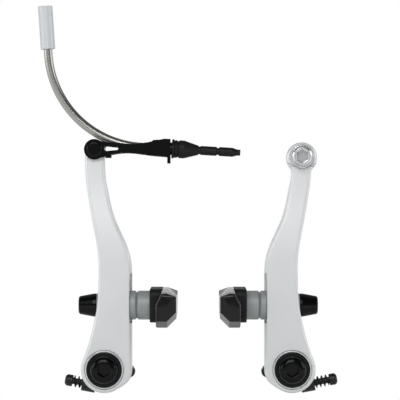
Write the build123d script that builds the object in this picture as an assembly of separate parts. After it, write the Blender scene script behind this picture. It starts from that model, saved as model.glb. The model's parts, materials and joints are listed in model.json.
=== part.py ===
from build123d import *
import os
from math import cos, degrees, pi, radians, sin, sqrt, tan

os.makedirs("parts", exist_ok=True)

# Frame: X to the right, Y away from the viewer (the bicycle frame is at the back), Z up.
# The origin is midway between the two pivots, in the plane of the bushes' back faces.
# Each arm is drawn with its own pivot at X 0 and its inboard side towards +X, then placed.

# Clearances
RUN = 0.05          # radial running fit of a pin in its hole
SEAT = 0.3          # gap beside a part that moves past

# Pivots, bushes and mounting bolts
PIVOT_SPACING = 80.0
STUD_BORE = 8.1     # bore of the bush, for an 8 mm frame boss
BUSH_OD = 11.0
BUSH_LENGTH = 21.1
COUNTERBORE_RADIUS = 8.5
COUNTERBORE_DEPTH = 0.8
RING_OD = 16.4
RING_THICKNESS = 0.7
FLANGE_OD = 15.2
FLANGE_THICKNESS = 1.3
DOME_OD = 12.4
DOME_HEIGHT = 3.2
SOCKET_FLATS = 5.0
SOCKET_DEPTH = 4.0
M6_RADIUS = 3.0
MOUNT_SHANK_LENGTH = 18.0

# Arms
HUB_RADIUS = 10.0
FLANK_LEAN = 21.3         # of the outboard edge where it meets the hub, degrees
ARM_INBOARD = 11.6        # straight inboard face, from the pivot
ARM_LIP = 0.5             # the arm's front face is this far past the bush
ARM_TOP_DEPTH = 8.0       # front to back at the top
ARM_EDGE = 1.4            # rounding of the front edges
ARM_BACK_EDGE = 0.8
LINK_PIN_U = -4.25
LINK_PIN_V = 93.8
LINK_END_RADIUS = 4.2
BOSS_U = -4.2
BOSS_V = 90.2
BOSS_RADIUS = 6.6

# Spring unit behind each arm
BASE_THICKNESS = 7.0
BASE_RADIUS = 9.2
LOBE_RADIUS = 2.4
LOBE_U = 10.3
LOBE_V = -2.0
PEG_RADIUS = 1.4
PEG_LENGTH = 3.0
SCREW_MAJOR = 5.1
SCREW_MINOR = 2.7
SCREW_CREST_SPACING = 1.8 # rise of the coarse thread in one turn
SCREW_CRESTS = 5
SCREW_HEAD_OD = 5.0
SCREW_HEAD_LENGTH = 3.4
SCREW_TILT = 10.5         # rise towards the head, degrees
SCREW_LINE_V = -8.8       # height of the screw's axis at the pivot
SCREW_BOSS_WALL = 0.85
SCREW_BOSS_END = 10.2     # outboard end of the screw's boss
SCREW_BOSS_LENGTH = 5.9
LEFT_SCREW_OUT = 14.3     # underside of the head, from the pivot
RIGHT_SCREW_OUT = 16.7
WIRE_RADIUS = 0.9
WIRE_U = 7.2
WIRE_BASE_V = 0.8
WIRE_KNEE_V = 12.0
WIRE_TOP_V = 49.5
WIRE_BEND = 25.0
SPRING_PIN_RADIUS = 1.5
SPRING_PIN_U = 2.2
SPRING_PIN_V = 47.0
SPRING_PIN_SUNK = 4.0
SPRING_PIN_HEAD_RADIUS = 2.3
SPRING_PIN_HEAD = 0.9

# Shoe, with its washers and nut
STUD_V = 27.2             # height of the stud's axis in the arm
SLOT_LOW = 26.2           # lowest and highest place of the stud's axis
SLOT_HIGH = 34.4
SLOT_WIDTH = 7.4
POCKET_WIDTH = 12.0
POCKET_FLOOR = 0.6
SEAT_DEPTH = 0.9          # flat milled into the inboard face for the washer
SEAT_BACK_LIP = 0.5       # left standing behind the flat
BALL_U = 5.5              # centre of both washers' spheres, in the middle of the arm
WASHER_RADIUS = 6.2
WASHER_BORE = 4.1
WASHER_RIM = 2.5          # thickness of the inner convex washer at its rim
THICK_END = 19.5          # where the thick washer ends and the pad starts
OUTER_WASHER_RADIUS = 5.0
OUTER_WASHER_BORE = 3.6
OUTER_WASHER_RIM = 1.1
OUTER_STACK_END = -3.4
NUT_FLANGE_THICKNESS = 1.2
NUT_FLANGE_RADIUS = 5.0
NUT_END = -11.1
NUT_END_RADIUS = 3.85
NUT_SOCKET_DEPTH = 3.4
WASHER_CHAMFER = 0.35
PAD_BASE_THICKNESS = 2.85
PAD_BASE_LENGTH = 30.0
PAD_BASE_HEIGHT = 14.2
PAD_BASE_REACH = 5.6      # how far the base's edge runs along the rubber
PAD_BASE_RISE = 0.3
PAD_LENGTH = 60.0
PAD_DEPTH = 8.55          # rubber in front of the base
PAD_TOP = 7.5             # above and below the stud
PAD_BOTTOM = -8.05
PAD_CORNER = 3.9          # cut corners of the braking side
PAD_SHOULDER = 4.5        # cut corner above the base
RIM_RADIUS = 311.0        # the pad curves with the wheel's rim
PAD_BEVEL = 4.1           # height of the bevels under the ends
PAD_BEVEL_LENGTH = 14.0   # and how far in from the ends they start
PAD_TOP_BEVEL = 1.0
GROOVE_WIDTH = 1.6
GROOVE_DEPTH = 2.2
GROOVE_SPACING = 13.0
GROOVE_COUNT = 3
STUD_HEAD_RADIUS = 5.5
STUD_HEAD = 1.4
STUD_HEAD_IN = 1.1        # from the pad's back to the head

# Link at the left arm's top
PLATE = 1.4
LINK_DISC = 4.4
LINK_GAP = 0.2
LINK_LENGTH = 32.4        # from the pin to the outer face of the end wall
LINK_DEEP_LENGTH = 8.0    # of the deep end that holds the noodle
LINK_PIN_RADIUS = 2.5
RIVET_RADIUS = 3.3
RIVET_HEIGHT = 0.6
TONGUE_LENGTH = 2.6
TONGUE_WIDTH = 4.0
TAB_DEPTH = 5.8           # of the stop tab that meets the arm

# Noodle: a tube bent to one radius between two straight ends
NOODLE_OD = 3.74
NOODLE_BORE = 2.4
NOODLE_BEND = 42.4
TIP_IN_LINK = 12.45       # straight tip from the bend to the link's end wall
TIP_RISE = 1.07           # height of the bend's end above the link's pin
TIP_SLOPE = 3.3           # fall of the straight tip, degrees
ENTRY_TILT = 3.8          # lean of the upper end, degrees
TUBE_IN_BOOT = 8.8        # the tube's end, from the boot's mouth
LINER_OD = 2.3
LINER_BORE = 1.7
FERRULE_OD = 6.2
FERRULE_LENGTH = 18.5
FERRULE_START = 2.3       # straight tube below the ferrule
HOUSING_BORE = 5.1
HOUSING_DEPTH = 12.0
COLLAR_RADIUS = 3.4
COLLAR_LENGTH = 4.0
NECK_RADIUS = 2.7
NECK_SHOWING = 0.55
NECK_IN_BOOT = 3.0
BOOT_CABLE_BORE = 1.9
BOOT_LENGTH = 29.4
BOOT_RIDGE_RADIUS = 4.1
BOOT_RIB_RADIUS = 3.8
BOOT_CONE_RADIUS = 3.85
BOOT_SLEEVE_RADIUS = 1.95
BOOT_WAIST_RADIUS = 1.5
BOOT_TIP_RADIUS = 1.3

# Cable anchor at the right arm's top
ANCHOR_RISE = 0.7
ANCHOR_HEAD_OD = 8.45
ANCHOR_HEAD = 4.2
ANCHOR_SOCKET_DEPTH = 2.8
ANCHOR_WASHER_OD = 9.9
ANCHOR_WASHER = 1.2
ANCHOR_WASHER_DROP = 0.25
ANCHOR_SHANK = 8.5
ANCHOR_SEAT_SUNK = 0.5
CABLE_GROOVE_RADIUS = 0.8

# Places along Y that follow from the sizes above
BASE_BACK = -SEAT
BASE_FRONT = BASE_BACK - BASE_THICKNESS
ARM_BACK = BASE_FRONT - SEAT
ARM_FRONT = -BUSH_LENGTH - ARM_LIP
ARM_DEPTH = ARM_BACK - ARM_FRONT
MID_Y = (ARM_BACK + ARM_FRONT) / 2
TOP_FRONT = MID_Y - ARM_TOP_DEPTH / 2
TOP_BACK = MID_Y + ARM_TOP_DEPTH / 2
BUSH_FRONT = -BUSH_LENGTH
RING_FRONT = BUSH_FRONT - RING_THICKNESS
FLANGE_FRONT = RING_FRONT - FLANGE_THICKNESS
SCREW_Y = BASE_BACK - BASE_THICKNESS / 2
SCREW_LENGTH = SCREW_CREST_SPACING * (SCREW_CRESTS + 0.1)
WIRE_Y = BASE_FRONT + 1.7
PLATE_FRONT = TOP_FRONT - LINK_GAP
PLATE_BACK = TOP_BACK + LINK_GAP


def left(shape):
    return Pos(-PIVOT_SPACING / 2, 0, 0) * shape


def right(shape):
    return Pos(PIVOT_SPACING / 2, 0, 0) * mirror(shape, about=Plane.YZ)


def closed(*edges):
    return make_face(Wire(list(edges)).edges())


def upright(face, y_start, length):
    """A face drawn in u and v, given thickness from y_start towards the viewer."""
    drawn = Plane(origin=(0, y_start, 0), x_dir=(1, 0, 0), z_dir=(0, -1, 0)) * face
    return extrude(drawn, length)


def turned_y(*edges):
    """A body turned about Y, drawn as radius and Y."""
    return revolve(closed(*edges), Axis.Y)


def turned_x(*edges):
    """A body turned about X, drawn as X and radius."""
    return revolve(closed(*edges), Axis.X)


def chain(points):
    return [Line(a, b) for a, b in zip(points, points[1:] + points[:1])]


def rod_y(radius, y_start, length, u=0.0, v=0.0):
    """A round bar from y_start towards the viewer."""
    return Pos(u, 0, v) * upright(Circle(radius), y_start, length)


def hexagon(flats):
    return RegularPolygon(flats / 2, 6, major_radius=False)


def stadium(low, high, radius):
    """Two half circles joined by straight sides, upright, drawn in the plane across X."""
    middle = (low + high) / 2
    return Pos(0, middle) * Rot(0, 0, 90) * SlotOverall(high - low + 2 * radius, 2 * radius)


def across(face, u_start, length):
    """A face drawn in Y and Z, given thickness along X."""
    return extrude(Plane(origin=(u_start, 0, 0), x_dir=(0, 1, 0), z_dir=(1, 0, 0)) * face, length)


def arm_outline(end_u, end_v):
    """Front view of an arm: hub at the pivot, straight shoe length, swept neck, round end."""
    turn_in, flank = radians(-64), radians(FLANK_LEAN)
    hub_leave = (HUB_RADIUS * cos(turn_in), HUB_RADIUS * sin(turn_in))
    hub_low = (-HUB_RADIUS * sin(pi / 4), -HUB_RADIUS * cos(pi / 4))
    hub_flank = (-HUB_RADIUS * cos(flank), HUB_RADIUS * sin(flank))
    inner = (end_u + LINK_END_RADIUS, end_v)
    outer = (end_u - LINK_END_RADIUS, end_v)
    inboard = [(ARM_INBOARD, 38), (11.05, 46.7), (8.25, 55.2), (3.7, 65.8), (1.15, 77.3)]
    outboard = [(-8.0, 81), (-6.75, 72.2), (-4.4, 59.4), (-2.55, 48)]
    outboard += [(-2.45, 38), (-3.15, 26.8), (-5.1, 16.8)]
    foot = (ARM_INBOARD, -1.0)
    return closed(
        ThreePointArc(hub_flank, hub_low, hub_leave),
        Spline(hub_leave, (8.6, -6.4), foot, tangents=[(-sin(turn_in), cos(turn_in)), (0, 1)]),
        Line(foot, inboard[0]),
        Spline(*inboard, inner, tangents=[(0, 1), (0, 1)]),
        ThreePointArc(inner, (end_u, end_v + LINK_END_RADIUS), outer),
        Spline(outer, *outboard, hub_flank, tangents=[(0, -1), (-sin(flank), -cos(flank))]),
    )


def arm_side():
    """Side view of an arm in Y and Z: even at the hub and shoe, thinner towards the top."""
    low, high = -HUB_RADIUS - 2, LINK_PIN_V + LINK_END_RADIUS + 2
    front_bend, back_bend = 44.0, 44.0
    return closed(
        Line((ARM_BACK, low), (ARM_FRONT, low)),
        Line((ARM_FRONT, low), (ARM_FRONT, front_bend)),
        Spline((ARM_FRONT, front_bend), (TOP_FRONT, LINK_PIN_V - 8), tangents=[(0, 1), (0, 1)]),
        Line((TOP_FRONT, LINK_PIN_V - 8), (TOP_FRONT, high)),
        Line((TOP_FRONT, high), (TOP_BACK, high)),
        Line((TOP_BACK, high), (TOP_BACK, LINK_PIN_V - 8)),
        Spline((TOP_BACK, LINK_PIN_V - 8), (ARM_BACK, back_bend), tangents=[(0, -1), (0, -1)]),
        Line((ARM_BACK, back_bend), (ARM_BACK, low)),
    )


def rim_edges(solid, side):
    """Edges round the front (-1) or back (1) face, without the seams across that face."""
    found = []
    for edge in solid.edges():
        start, end = edge @ 0, edge @ 1
        seam = edge.geom_type == GeomType.LINE and abs(start.Z - end.Z) < 0.01
        upright_corner = abs(start.Y - end.Y) > ARM_TOP_DEPTH / 2
        if (start.Y - MID_Y) * side > 0 and not seam and not upright_corner:
            found.append(edge)
    return found


def rounded_blank(outline):
    blank = upright(outline, 0, 40) & across(arm_side(), -30, 60)
    blank = blank.solids()[0]
    blank = fillet(rim_edges(blank, -1), ARM_EDGE)
    return fillet(rim_edges(blank, 1), ARM_BACK_EDGE)


def shoe_openings():
    """Slot for the stud, pocket for the outer washers and the flat for the inner washer."""
    place = Pos(0, MID_Y, 0)
    slot = place * across(stadium(SLOT_LOW, SLOT_HIGH, SLOT_WIDTH / 2), -20, 40)
    pocket = place * across(stadium(SLOT_LOW, SLOT_HIGH, POCKET_WIDTH / 2), -20, 20 + POCKET_FLOOR)
    reach = WASHER_RADIUS + SEAT
    flat = Box(10, ARM_DEPTH, SLOT_HIGH - SLOT_LOW + 2 * reach)
    flat_u = ARM_INBOARD - SEAT_DEPTH + 5
    return slot + pocket + Pos(flat_u, MID_Y - SEAT_BACK_LIP, (SLOT_LOW + SLOT_HIGH) / 2) * flat


def arm_body(outline):
    arm = rounded_blank(outline) - shoe_openings()
    arm -= rod_y(BUSH_OD / 2 + RUN, 5, 40)
    arm -= rod_y(COUNTERBORE_RADIUS, ARM_FRONT + COUNTERBORE_DEPTH, 10)
    pin_hole = SPRING_PIN_SUNK + RUN
    arm -= rod_y(SPRING_PIN_RADIUS + RUN, ARM_BACK + 5, 5 + pin_hole, SPRING_PIN_U, SPRING_PIN_V)
    return arm


def left_arm():
    arm = arm_body(arm_outline(LINK_PIN_U, LINK_PIN_V))
    return arm - rod_y(LINK_PIN_RADIUS + RUN, 5, 40, LINK_PIN_U, LINK_PIN_V)


def right_arm():
    boss = Pos(BOSS_U, BOSS_V) * Circle(BOSS_RADIUS)
    outline = arm_outline(BOSS_U, BOSS_V) + boss
    corners = [v for v in outline.vertices() if v.Y < BOSS_V - 1 and v.Y > BOSS_V - BOSS_RADIUS - 1]
    outline = fillet(corners, 3.0)
    arm = arm_body(outline)
    seat = TOP_FRONT + ANCHOR_SEAT_SUNK
    anchor_v = BOSS_V + ANCHOR_RISE
    arm -= rod_y(ANCHOR_WASHER_OD / 2 + SEAT, seat, 10, BOSS_U, anchor_v - ANCHOR_WASHER_DROP)
    arm -= rod_y(M6_RADIUS + RUN, 5, 40, BOSS_U, anchor_v)
    groove = across(Circle(CABLE_GROOVE_RADIUS), -30, 60)
    return arm - Pos(0, seat, anchor_v - M6_RADIUS - CABLE_GROOVE_RADIUS) * groove


def pivot_bush():
    bush = rod_y(BUSH_OD / 2, 0, BUSH_LENGTH) - rod_y(STUD_BORE / 2, 1, BUSH_LENGTH + 2)
    return chamfer(bush.edges().filter_by(GeomType.CIRCLE), 0.25)


def front_washer():
    """Bright ring under the bolt's flange, bored like the bush behind it."""
    ring = rod_y(RING_OD / 2, BUSH_FRONT, RING_THICKNESS)
    ring -= rod_y(STUD_BORE / 2, 0, BUSH_LENGTH + 5)
    return chamfer(ring.edges().group_by(Axis.Y)[0].filter_by(GeomType.CIRCLE), 0.15)


def mount_bolt():
    """Flanged bolt with a domed head and a hexagon socket, its shank inside the bush."""
    flange, dome = FLANGE_OD / 2, DOME_OD / 2
    rim = SOCKET_FLATS / sqrt(3)
    top = FLANGE_FRONT - DOME_HEIGHT
    waist = (dome * 0.8, FLANGE_FRONT - DOME_HEIGHT * 0.72)
    lip = 0.5
    head = turned_y(
        Line((0, RING_FRONT), (flange, RING_FRONT)),
        Line((flange, RING_FRONT), (flange, FLANGE_FRONT + lip)),
        Line((flange, FLANGE_FRONT + lip), (flange - lip, FLANGE_FRONT)),
        Line((flange - lip, FLANGE_FRONT), (dome, FLANGE_FRONT)),
        ThreePointArc((dome, FLANGE_FRONT), waist, (rim, top)),
        Line((rim, top), (0, top)),
        Line((0, top), (0, RING_FRONT)),
    )
    head -= upright(hexagon(SOCKET_FLATS), top + SOCKET_DEPTH, SOCKET_DEPTH + 5)
    shank = rod_y(M6_RADIUS, RING_FRONT + MOUNT_SHANK_LENGTH, MOUNT_SHANK_LENGTH)
    shank = chamfer(shank.edges().group_by(Axis.Y)[-1], 0.6)
    return head + shank


def on_screw_axis(shape, out):
    """Puts a shape drawn along X, its zero at distance out from the pivot, on the screw's axis."""
    rise = out * tan(radians(SCREW_TILT))
    return Pos(-out, SCREW_Y, SCREW_LINE_V + rise) * Rot(0, SCREW_TILT, 0) * shape


def spring_base():
    """Moulded block behind the arm: ring on the bush, lobe inboard, boss for the screw."""
    lobe = Pos(LOBE_U, LOBE_V) * Circle(LOBE_RADIUS)
    outline = make_hull(Circle(BASE_RADIUS).edges() + lobe.edges())
    base = upright(outline, BASE_BACK, BASE_THICKNESS)
    base = fillet(base.edges().filter_by(lambda e: abs((e @ 0 - e @ 1).Y) < 0.1), 0.6)
    boss_radius = SCREW_MAJOR / 2 + SCREW_BOSS_WALL
    base += on_screw_axis(across(Circle(boss_radius), 0, SCREW_BOSS_LENGTH), SCREW_BOSS_END)
    deepest = min(LEFT_SCREW_OUT, RIGHT_SCREW_OUT)
    base -= on_screw_axis(across(Circle(SCREW_MAJOR / 2 + RUN), -5, 5 + SCREW_LENGTH + 2 * RUN), deepest)
    base -= rod_y(BUSH_OD / 2 + RUN, 5, 40)
    base -= Pos(WIRE_U, WIRE_Y, WIRE_BASE_V - RUN) * Cylinder(
        WIRE_RADIUS + RUN, 20, align=(Align.CENTER, Align.CENTER, Align.MIN))
    peg = rod_y(PEG_RADIUS, BASE_BACK + PEG_LENGTH, PEG_LENGTH, LOBE_U, LOBE_V)
    return base + chamfer(peg.edges().group_by(Axis.Y)[-1], 0.4)


def return_spring():
    """Wire from its hole in the base, leaning up to bear on the arm's spring pin."""
    rest_u = SPRING_PIN_U + SPRING_PIN_RADIUS + WIRE_RADIUS
    route = FilletPolyline((WIRE_U, WIRE_BASE_V), (WIRE_U, WIRE_KNEE_V), (rest_u, WIRE_TOP_V),
                           radius=WIRE_BEND)
    route = Plane(origin=(0, WIRE_Y, 0), x_dir=(1, 0, 0), z_dir=(0, -1, 0)) * route
    start = Plane(origin=route @ 0, z_dir=route % 0)
    return sweep(start * Circle(WIRE_RADIUS), path=route)


def spring_pin():
    """Post on the arm's back with a head that keeps the wire on."""
    back = WIRE_Y + WIRE_RADIUS + 2 * RUN
    sunk = ARM_BACK - SPRING_PIN_SUNK
    post = rod_y(SPRING_PIN_RADIUS, back, back - sunk, SPRING_PIN_U, SPRING_PIN_V)
    head = rod_y(SPRING_PIN_HEAD_RADIUS, back + SPRING_PIN_HEAD, SPRING_PIN_HEAD, SPRING_PIN_U, SPRING_PIN_V)
    return post + fillet(head.edges().group_by(Axis.Y)[-1], 0.4)


def adjust_screw(out):
    """Coarse screw for plastic, its crests drawn as rings, with a domed cross-slotted head."""
    head, core, crest = SCREW_HEAD_OD / 2, SCREW_MINOR / 2, SCREW_MAJOR / 2
    end, dome = SCREW_LENGTH, 0.9
    points = [(-SCREW_HEAD_LENGTH + dome, head), (0, head), (0, core)]
    for turn in range(SCREW_CRESTS):
        middle = SCREW_CREST_SPACING * (turn + 0.6)
        points += [(middle - 0.5, core), (middle - 0.15, crest), (middle + 0.15, crest), (middle + 0.5, core)]
    points += [(end - 0.5, core), (end, core - 0.5), (end, 0), (-SCREW_HEAD_LENGTH, 0)]
    lines = [Line(a, b) for a, b in zip(points, points[1:])]
    cap = ThreePointArc((-SCREW_HEAD_LENGTH, 0), (-SCREW_HEAD_LENGTH + dome * 0.3, head * 0.6), points[0])
    screw = turned_x(*lines, cap)
    for height, width in ((head * 1.2, 0.7), (0.7, head * 1.2)):
        screw -= Pos(-SCREW_HEAD_LENGTH, 0, 0) * Box(1.8, width, height)
    return on_screw_axis(screw, out)


def ball_arc(radius, r_start, r_end, side):
    """Arc of a washer's sphere in X and radius, on the inboard (1) or outboard (-1) side."""
    def point(r):
        return (BALL_U + side * sqrt(radius ** 2 - r ** 2), r)
    return ThreePointArc(point(r_start), point((r_start + r_end) / 2), point(r_end))


def convex_washer(flat, rim, radius, bore, side):
    """Flat on the arm, a sphere on the other face."""
    ball = sqrt((flat + side * rim - BALL_U) ** 2 + radius ** 2)
    arc = ball_arc(ball, bore, radius, side)
    washer = turned_x(
        arc,
        Line(arc @ 1, (flat, radius)),
        Line((flat, radius), (flat, bore)),
        Line((flat, bore), arc @ 0),
    )
    return at_stud(washer), ball


def concave_washer(end, ball, radius, side):
    """Dished to the convex washer's sphere, flat on the other face."""
    bore = M6_RADIUS + RUN
    arc = ball_arc(ball + RUN, bore, radius, side)
    rim = arc @ 1
    edge = WASHER_CHAMFER
    corner = (rim.X + side * edge, radius)
    inner = ball_arc(ball + RUN, bore, radius - edge, side)
    washer = turned_x(
        inner,
        Line(inner @ 1, corner),
        Line(corner, (end - side * edge, radius)),
        Line((end - side * edge, radius), (end, radius - edge)),
        Line((end, radius - edge), (end, bore)),
        Line((end, bore), inner @ 0),
    )
    return at_stud(washer)


def at_stud(shape):
    return Pos(0, MID_Y, STUD_V) * shape


def shoe_nut():
    """Flanged sleeve nut, tapered outwards, with a hexagon socket in its end."""
    flange = OUTER_STACK_END - NUT_FLANGE_THICKNESS
    root, tip, lip = NUT_FLANGE_RADIUS, NUT_END_RADIUS, 0.5
    nut = turned_x(*chain([
        (OUTER_STACK_END, 0), (OUTER_STACK_END, root), (flange, root),
        (NUT_END + lip, tip), (NUT_END, tip - lip), (NUT_END, 0),
    ]))
    bore_end = NUT_END + NUT_SOCKET_DEPTH
    nut -= across(Circle(M6_RADIUS + RUN), bore_end, 20)
    nut -= across(hexagon(SOCKET_FLATS), NUT_END - 1, NUT_SOCKET_DEPTH + 2)
    return at_stud(nut)


def shoe_stud():
    """Stud with the disc that is moulded into the pad."""
    head = THICK_END + STUD_HEAD_IN
    start = NUT_END + NUT_SOCKET_DEPTH + 2 * RUN
    stud = across(Circle(M6_RADIUS), start, head - start)
    stud = chamfer(stud.edges().group_by(Axis.X)[0], 0.4)
    return at_stud(stud + across(Circle(STUD_HEAD_RADIUS), head, STUD_HEAD))


def end_bevel(side, edge_z, height, depth):
    """Wedge that bevels a pad's end (-1 near, 1 far) from the edge at edge_z, over this height."""
    end_y = side * PAD_LENGTH / 2
    margin = 3.0
    outward = margin * (1 if height < 0 else -1)
    wedge = make_face(Wire(chain([
        (end_y + side * margin, edge_z + height * (1 + margin / depth)),
        (end_y + side * margin, edge_z + outward),
        (end_y - side * depth, edge_z + outward),
        (end_y - side * depth, edge_z),
    ])).edges())
    return across(wedge, THICK_END, 30)


def brake_pad():
    """Rubber block that follows the rim's curve, on a base round the stud's disc."""
    back = THICK_END + PAD_BASE_THICKNESS
    front = back + PAD_DEPTH
    section = Plane.XZ * make_face(Wire(chain([
        (back, PAD_BOTTOM), (front - PAD_CORNER, PAD_BOTTOM), (front, PAD_BOTTOM + PAD_CORNER),
        (front, PAD_TOP - PAD_CORNER * 0.7), (front - PAD_CORNER, PAD_TOP),
        (back + PAD_SHOULDER * 0.55, PAD_TOP), (back, PAD_TOP - PAD_SHOULDER),
    ])).edges())
    sweep_angle = degrees(PAD_LENGTH / RIM_RADIUS)
    axis = Axis((0, 0, -RIM_RADIUS), (1, 0, 0))
    body = revolve(section.rotate(axis, -sweep_angle / 2), axis, sweep_angle)
    droop = PAD_LENGTH ** 2 / RIM_RADIUS / 8
    for side in (-1, 1):
        body -= end_bevel(side, PAD_BOTTOM - droop, PAD_BEVEL, PAD_BEVEL_LENGTH)
        body -= end_bevel(side, PAD_TOP - droop, -PAD_TOP_BEVEL, PAD_TOP_BEVEL)
    for number in range(GROOVE_COUNT):
        place = (number - (GROOVE_COUNT - 1) / 2) * GROOVE_SPACING
        body -= Pos(front, place, 0) * Box(2 * GROOVE_DEPTH, GROOVE_WIDTH, 40)
    base = across(RectangleRounded(PAD_BASE_LENGTH, PAD_BASE_HEIGHT, 3.0), THICK_END, PAD_BASE_REACH)
    pad = body + Pos(0, 0, PAD_BASE_RISE) * base
    pad -= across(Circle(M6_RADIUS + RUN), THICK_END - 1, STUD_HEAD_IN + 2)
    pad -= across(Circle(STUD_HEAD_RADIUS + RUN), THICK_END + STUD_HEAD_IN, STUD_HEAD)
    return at_stud(pad)


def link_outline():
    """Front view of a link plate: disc on the pin, waist, deep end, drawn about the pin."""
    disc_top = (LINK_DISC * sin(radians(30)), LINK_DISC * cos(radians(30)))
    disc_low = (LINK_DISC * sin(radians(30)), -LINK_DISC * cos(radians(30)))
    end = LINK_LENGTH
    deep = end - LINK_DEEP_LENGTH
    return closed(
        ThreePointArc(disc_low, (-LINK_DISC, 0), disc_top),
        Spline(disc_top, (0.35 * deep, 2.9), (0.645 * deep, 2.3), (0.87 * deep, 2.8), (deep, 3.4),
               tangents=[(1, -0.55), (1, 0.35)]),
        Line((deep, 3.4), (deep + 0.8, 4.0)),
        Line((deep + 0.8, 4.0), (end - 4.6, 4.1)),
        Line((end - 4.6, 4.1), (end - 2.6, 4.5)),
        Line((end - 2.6, 4.5), (end, 4.4)),
        Line((end, 4.4), (end, -3.4)),
        Spline((end, -3.4), (deep, -2.7), (0.615 * deep, -1.6), (0.42 * deep, -1.8), disc_low,
               tangents=[(-1, 0.1), (-1, -0.35)]),
    )


def link_window():
    """Tapering window in the front plate, its left end as tall as the disc allows."""
    start, end = 4.3, 10.2
    low, top = -0.75, 1.35
    return closed(
        ThreePointArc((start + 0.6, low), (start, (low + top) / 2), (start + 0.6, top)),
        Line((start + 0.6, top), (end - 0.6, top - 0.5)),
        ThreePointArc((end - 0.6, top - 0.5), (end, 0.3), (end - 0.6, low + 0.45)),
        Line((end - 0.6, low + 0.45), (start + 0.6, low)),
    )


def at_link(shape):
    return Pos(LINK_PIN_U, 0, LINK_PIN_V) * shape


def bend_end_place():
    """Where the noodle's bend runs out into its straight tip, in u and v."""
    return Vector(LINK_PIN_U + LINK_LENGTH - TIP_IN_LINK, LINK_PIN_V + TIP_RISE)


def tip_height(reach):
    """Height of the noodle's straight tip above the link's pin, at this distance from it."""
    slope = radians(TIP_SLOPE)
    bend_end = bend_end_place()
    return bend_end.Y - LINK_PIN_V - (LINK_PIN_U + reach - bend_end.X) * tan(slope)


def noodle_link():
    """One folded plate: front and back walls, end wall with a keyhole, tongue and stop tab."""
    front = upright(link_outline() - link_window(), PLATE_FRONT, PLATE)
    back = upright(link_outline() - link_window(), PLATE_BACK + PLATE, PLATE)
    depth = PLATE_BACK - PLATE_FRONT
    inside = LINK_LENGTH - PLATE
    seat = tip_height(LINK_LENGTH - PLATE / 2)
    wall = Pos(inside + PLATE / 2, MID_Y, 0.5) * Box(PLATE, depth + 2 * PLATE, 7.8)
    hole = NECK_RADIUS + 3 * RUN
    wall -= Pos(0, MID_Y, seat) * across(Circle(hole), inside - 1, PLATE + 2)
    wall -= Pos(inside + PLATE / 2, MID_Y, seat + 5) * Box(PLATE + 2, NOODLE_OD + 0.5, 10)
    tongue = Box(PLATE, TONGUE_WIDTH, TONGUE_LENGTH + 1)
    wall += Pos(inside + PLATE / 2, MID_Y, -2.9 - TONGUE_LENGTH / 2) * tongue
    tab_start = LINK_END_RADIUS + 0.2 + SEAT
    tab_width = 2.6
    tab_place = Pos(tab_start + tab_width / 2, PLATE_FRONT - PLATE + TAB_DEPTH / 2, -3.0)
    tab = tab_place * Box(tab_width, TAB_DEPTH, PLATE)
    link = front + back + wall + tab
    link -= rod_y(LINK_PIN_RADIUS + RUN / 2, 5, 40)
    return at_link(link)


def link_pin():
    """Rivet through both plates and the arm, with low domed heads."""
    start, end = PLATE_BACK + PLATE, PLATE_FRONT - PLATE
    shank = rod_y(LINK_PIN_RADIUS, start, start - end)
    front = rod_y(RIVET_RADIUS, end, RIVET_HEIGHT)
    front = fillet(front.edges().group_by(Axis.Y)[0], RIVET_HEIGHT * 0.6)
    back = rod_y(RIVET_RADIUS, start + RIVET_HEIGHT, RIVET_HEIGHT)
    back = fillet(back.edges().group_by(Axis.Y)[-1], RIVET_HEIGHT * 0.6)
    return at_link(shank + front + back)


def noodle_route():
    """Straight entry inside the ferrule, one bend, straight tip, in u and v."""
    lean, slope = radians(ENTRY_TILT), radians(TIP_SLOPE)
    bend_end = bend_end_place()
    centre = bend_end + Vector(sin(slope), cos(slope)) * NOODLE_BEND
    bend_start = centre + Vector(-cos(lean), -sin(lean)) * NOODLE_BEND
    half = (lean + pi / 2 - slope) / 2
    bend_middle = centre + Vector(-cos(half), -sin(half)) * NOODLE_BEND
    entry = FERRULE_START + FERRULE_LENGTH - HOUSING_DEPTH - SEAT
    top = bend_start + Vector(-sin(lean), cos(lean)) * entry
    mouth_u = LINK_PIN_U + LINK_LENGTH + NECK_SHOWING
    tip_length = (mouth_u - bend_end.X) / cos(slope) + TUBE_IN_BOOT
    tip = bend_end + Vector(cos(slope), -sin(slope)) * tip_length
    bend = ThreePointArc(bend_start, bend_middle, bend_end)
    route = Wire([Line(top, bend_start), bend, Line(bend_end, tip)])
    return Plane(origin=(0, MID_Y, 0), x_dir=(1, 0, 0), z_dir=(0, -1, 0)) * route


def noodle_pipe(outer, bore):
    route = noodle_route()
    section = Plane(origin=route @ 0, z_dir=route % 0) * (Circle(outer / 2) - Circle(bore / 2))
    return sweep(section, path=route)


def noodle_ferrule():
    """Sleeve for the cable housing, its lower end on the noodle, with a shoulder between."""
    route = noodle_route()
    lean = radians(ENTRY_TILT)
    down = Vector(sin(lean), 0, -cos(lean))
    mouth = route @ 0 - down * (HOUSING_DEPTH + SEAT)
    plane = Plane(origin=mouth, x_dir=(0, 1, 0), z_dir=down)
    sleeve = extrude(plane * Circle(FERRULE_OD / 2), FERRULE_LENGTH)
    sleeve -= extrude(plane * Circle(HOUSING_BORE / 2), HOUSING_DEPTH)
    sleeve -= extrude(plane * Circle(NOODLE_OD / 2 + RUN), FERRULE_LENGTH + 1)
    rims = [e for e in sleeve.edges() if abs(e.length - pi * FERRULE_OD) < 0.01]
    return chamfer(rims, 0.3)


def on_tip(shape, reach):
    """Puts a shape turned about X on the noodle's tip, its zero at this distance from the pin."""
    return at_link(Pos(reach, MID_Y, tip_height(reach)) * Rot(0, TIP_SLOPE, 0) * shape)


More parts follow.
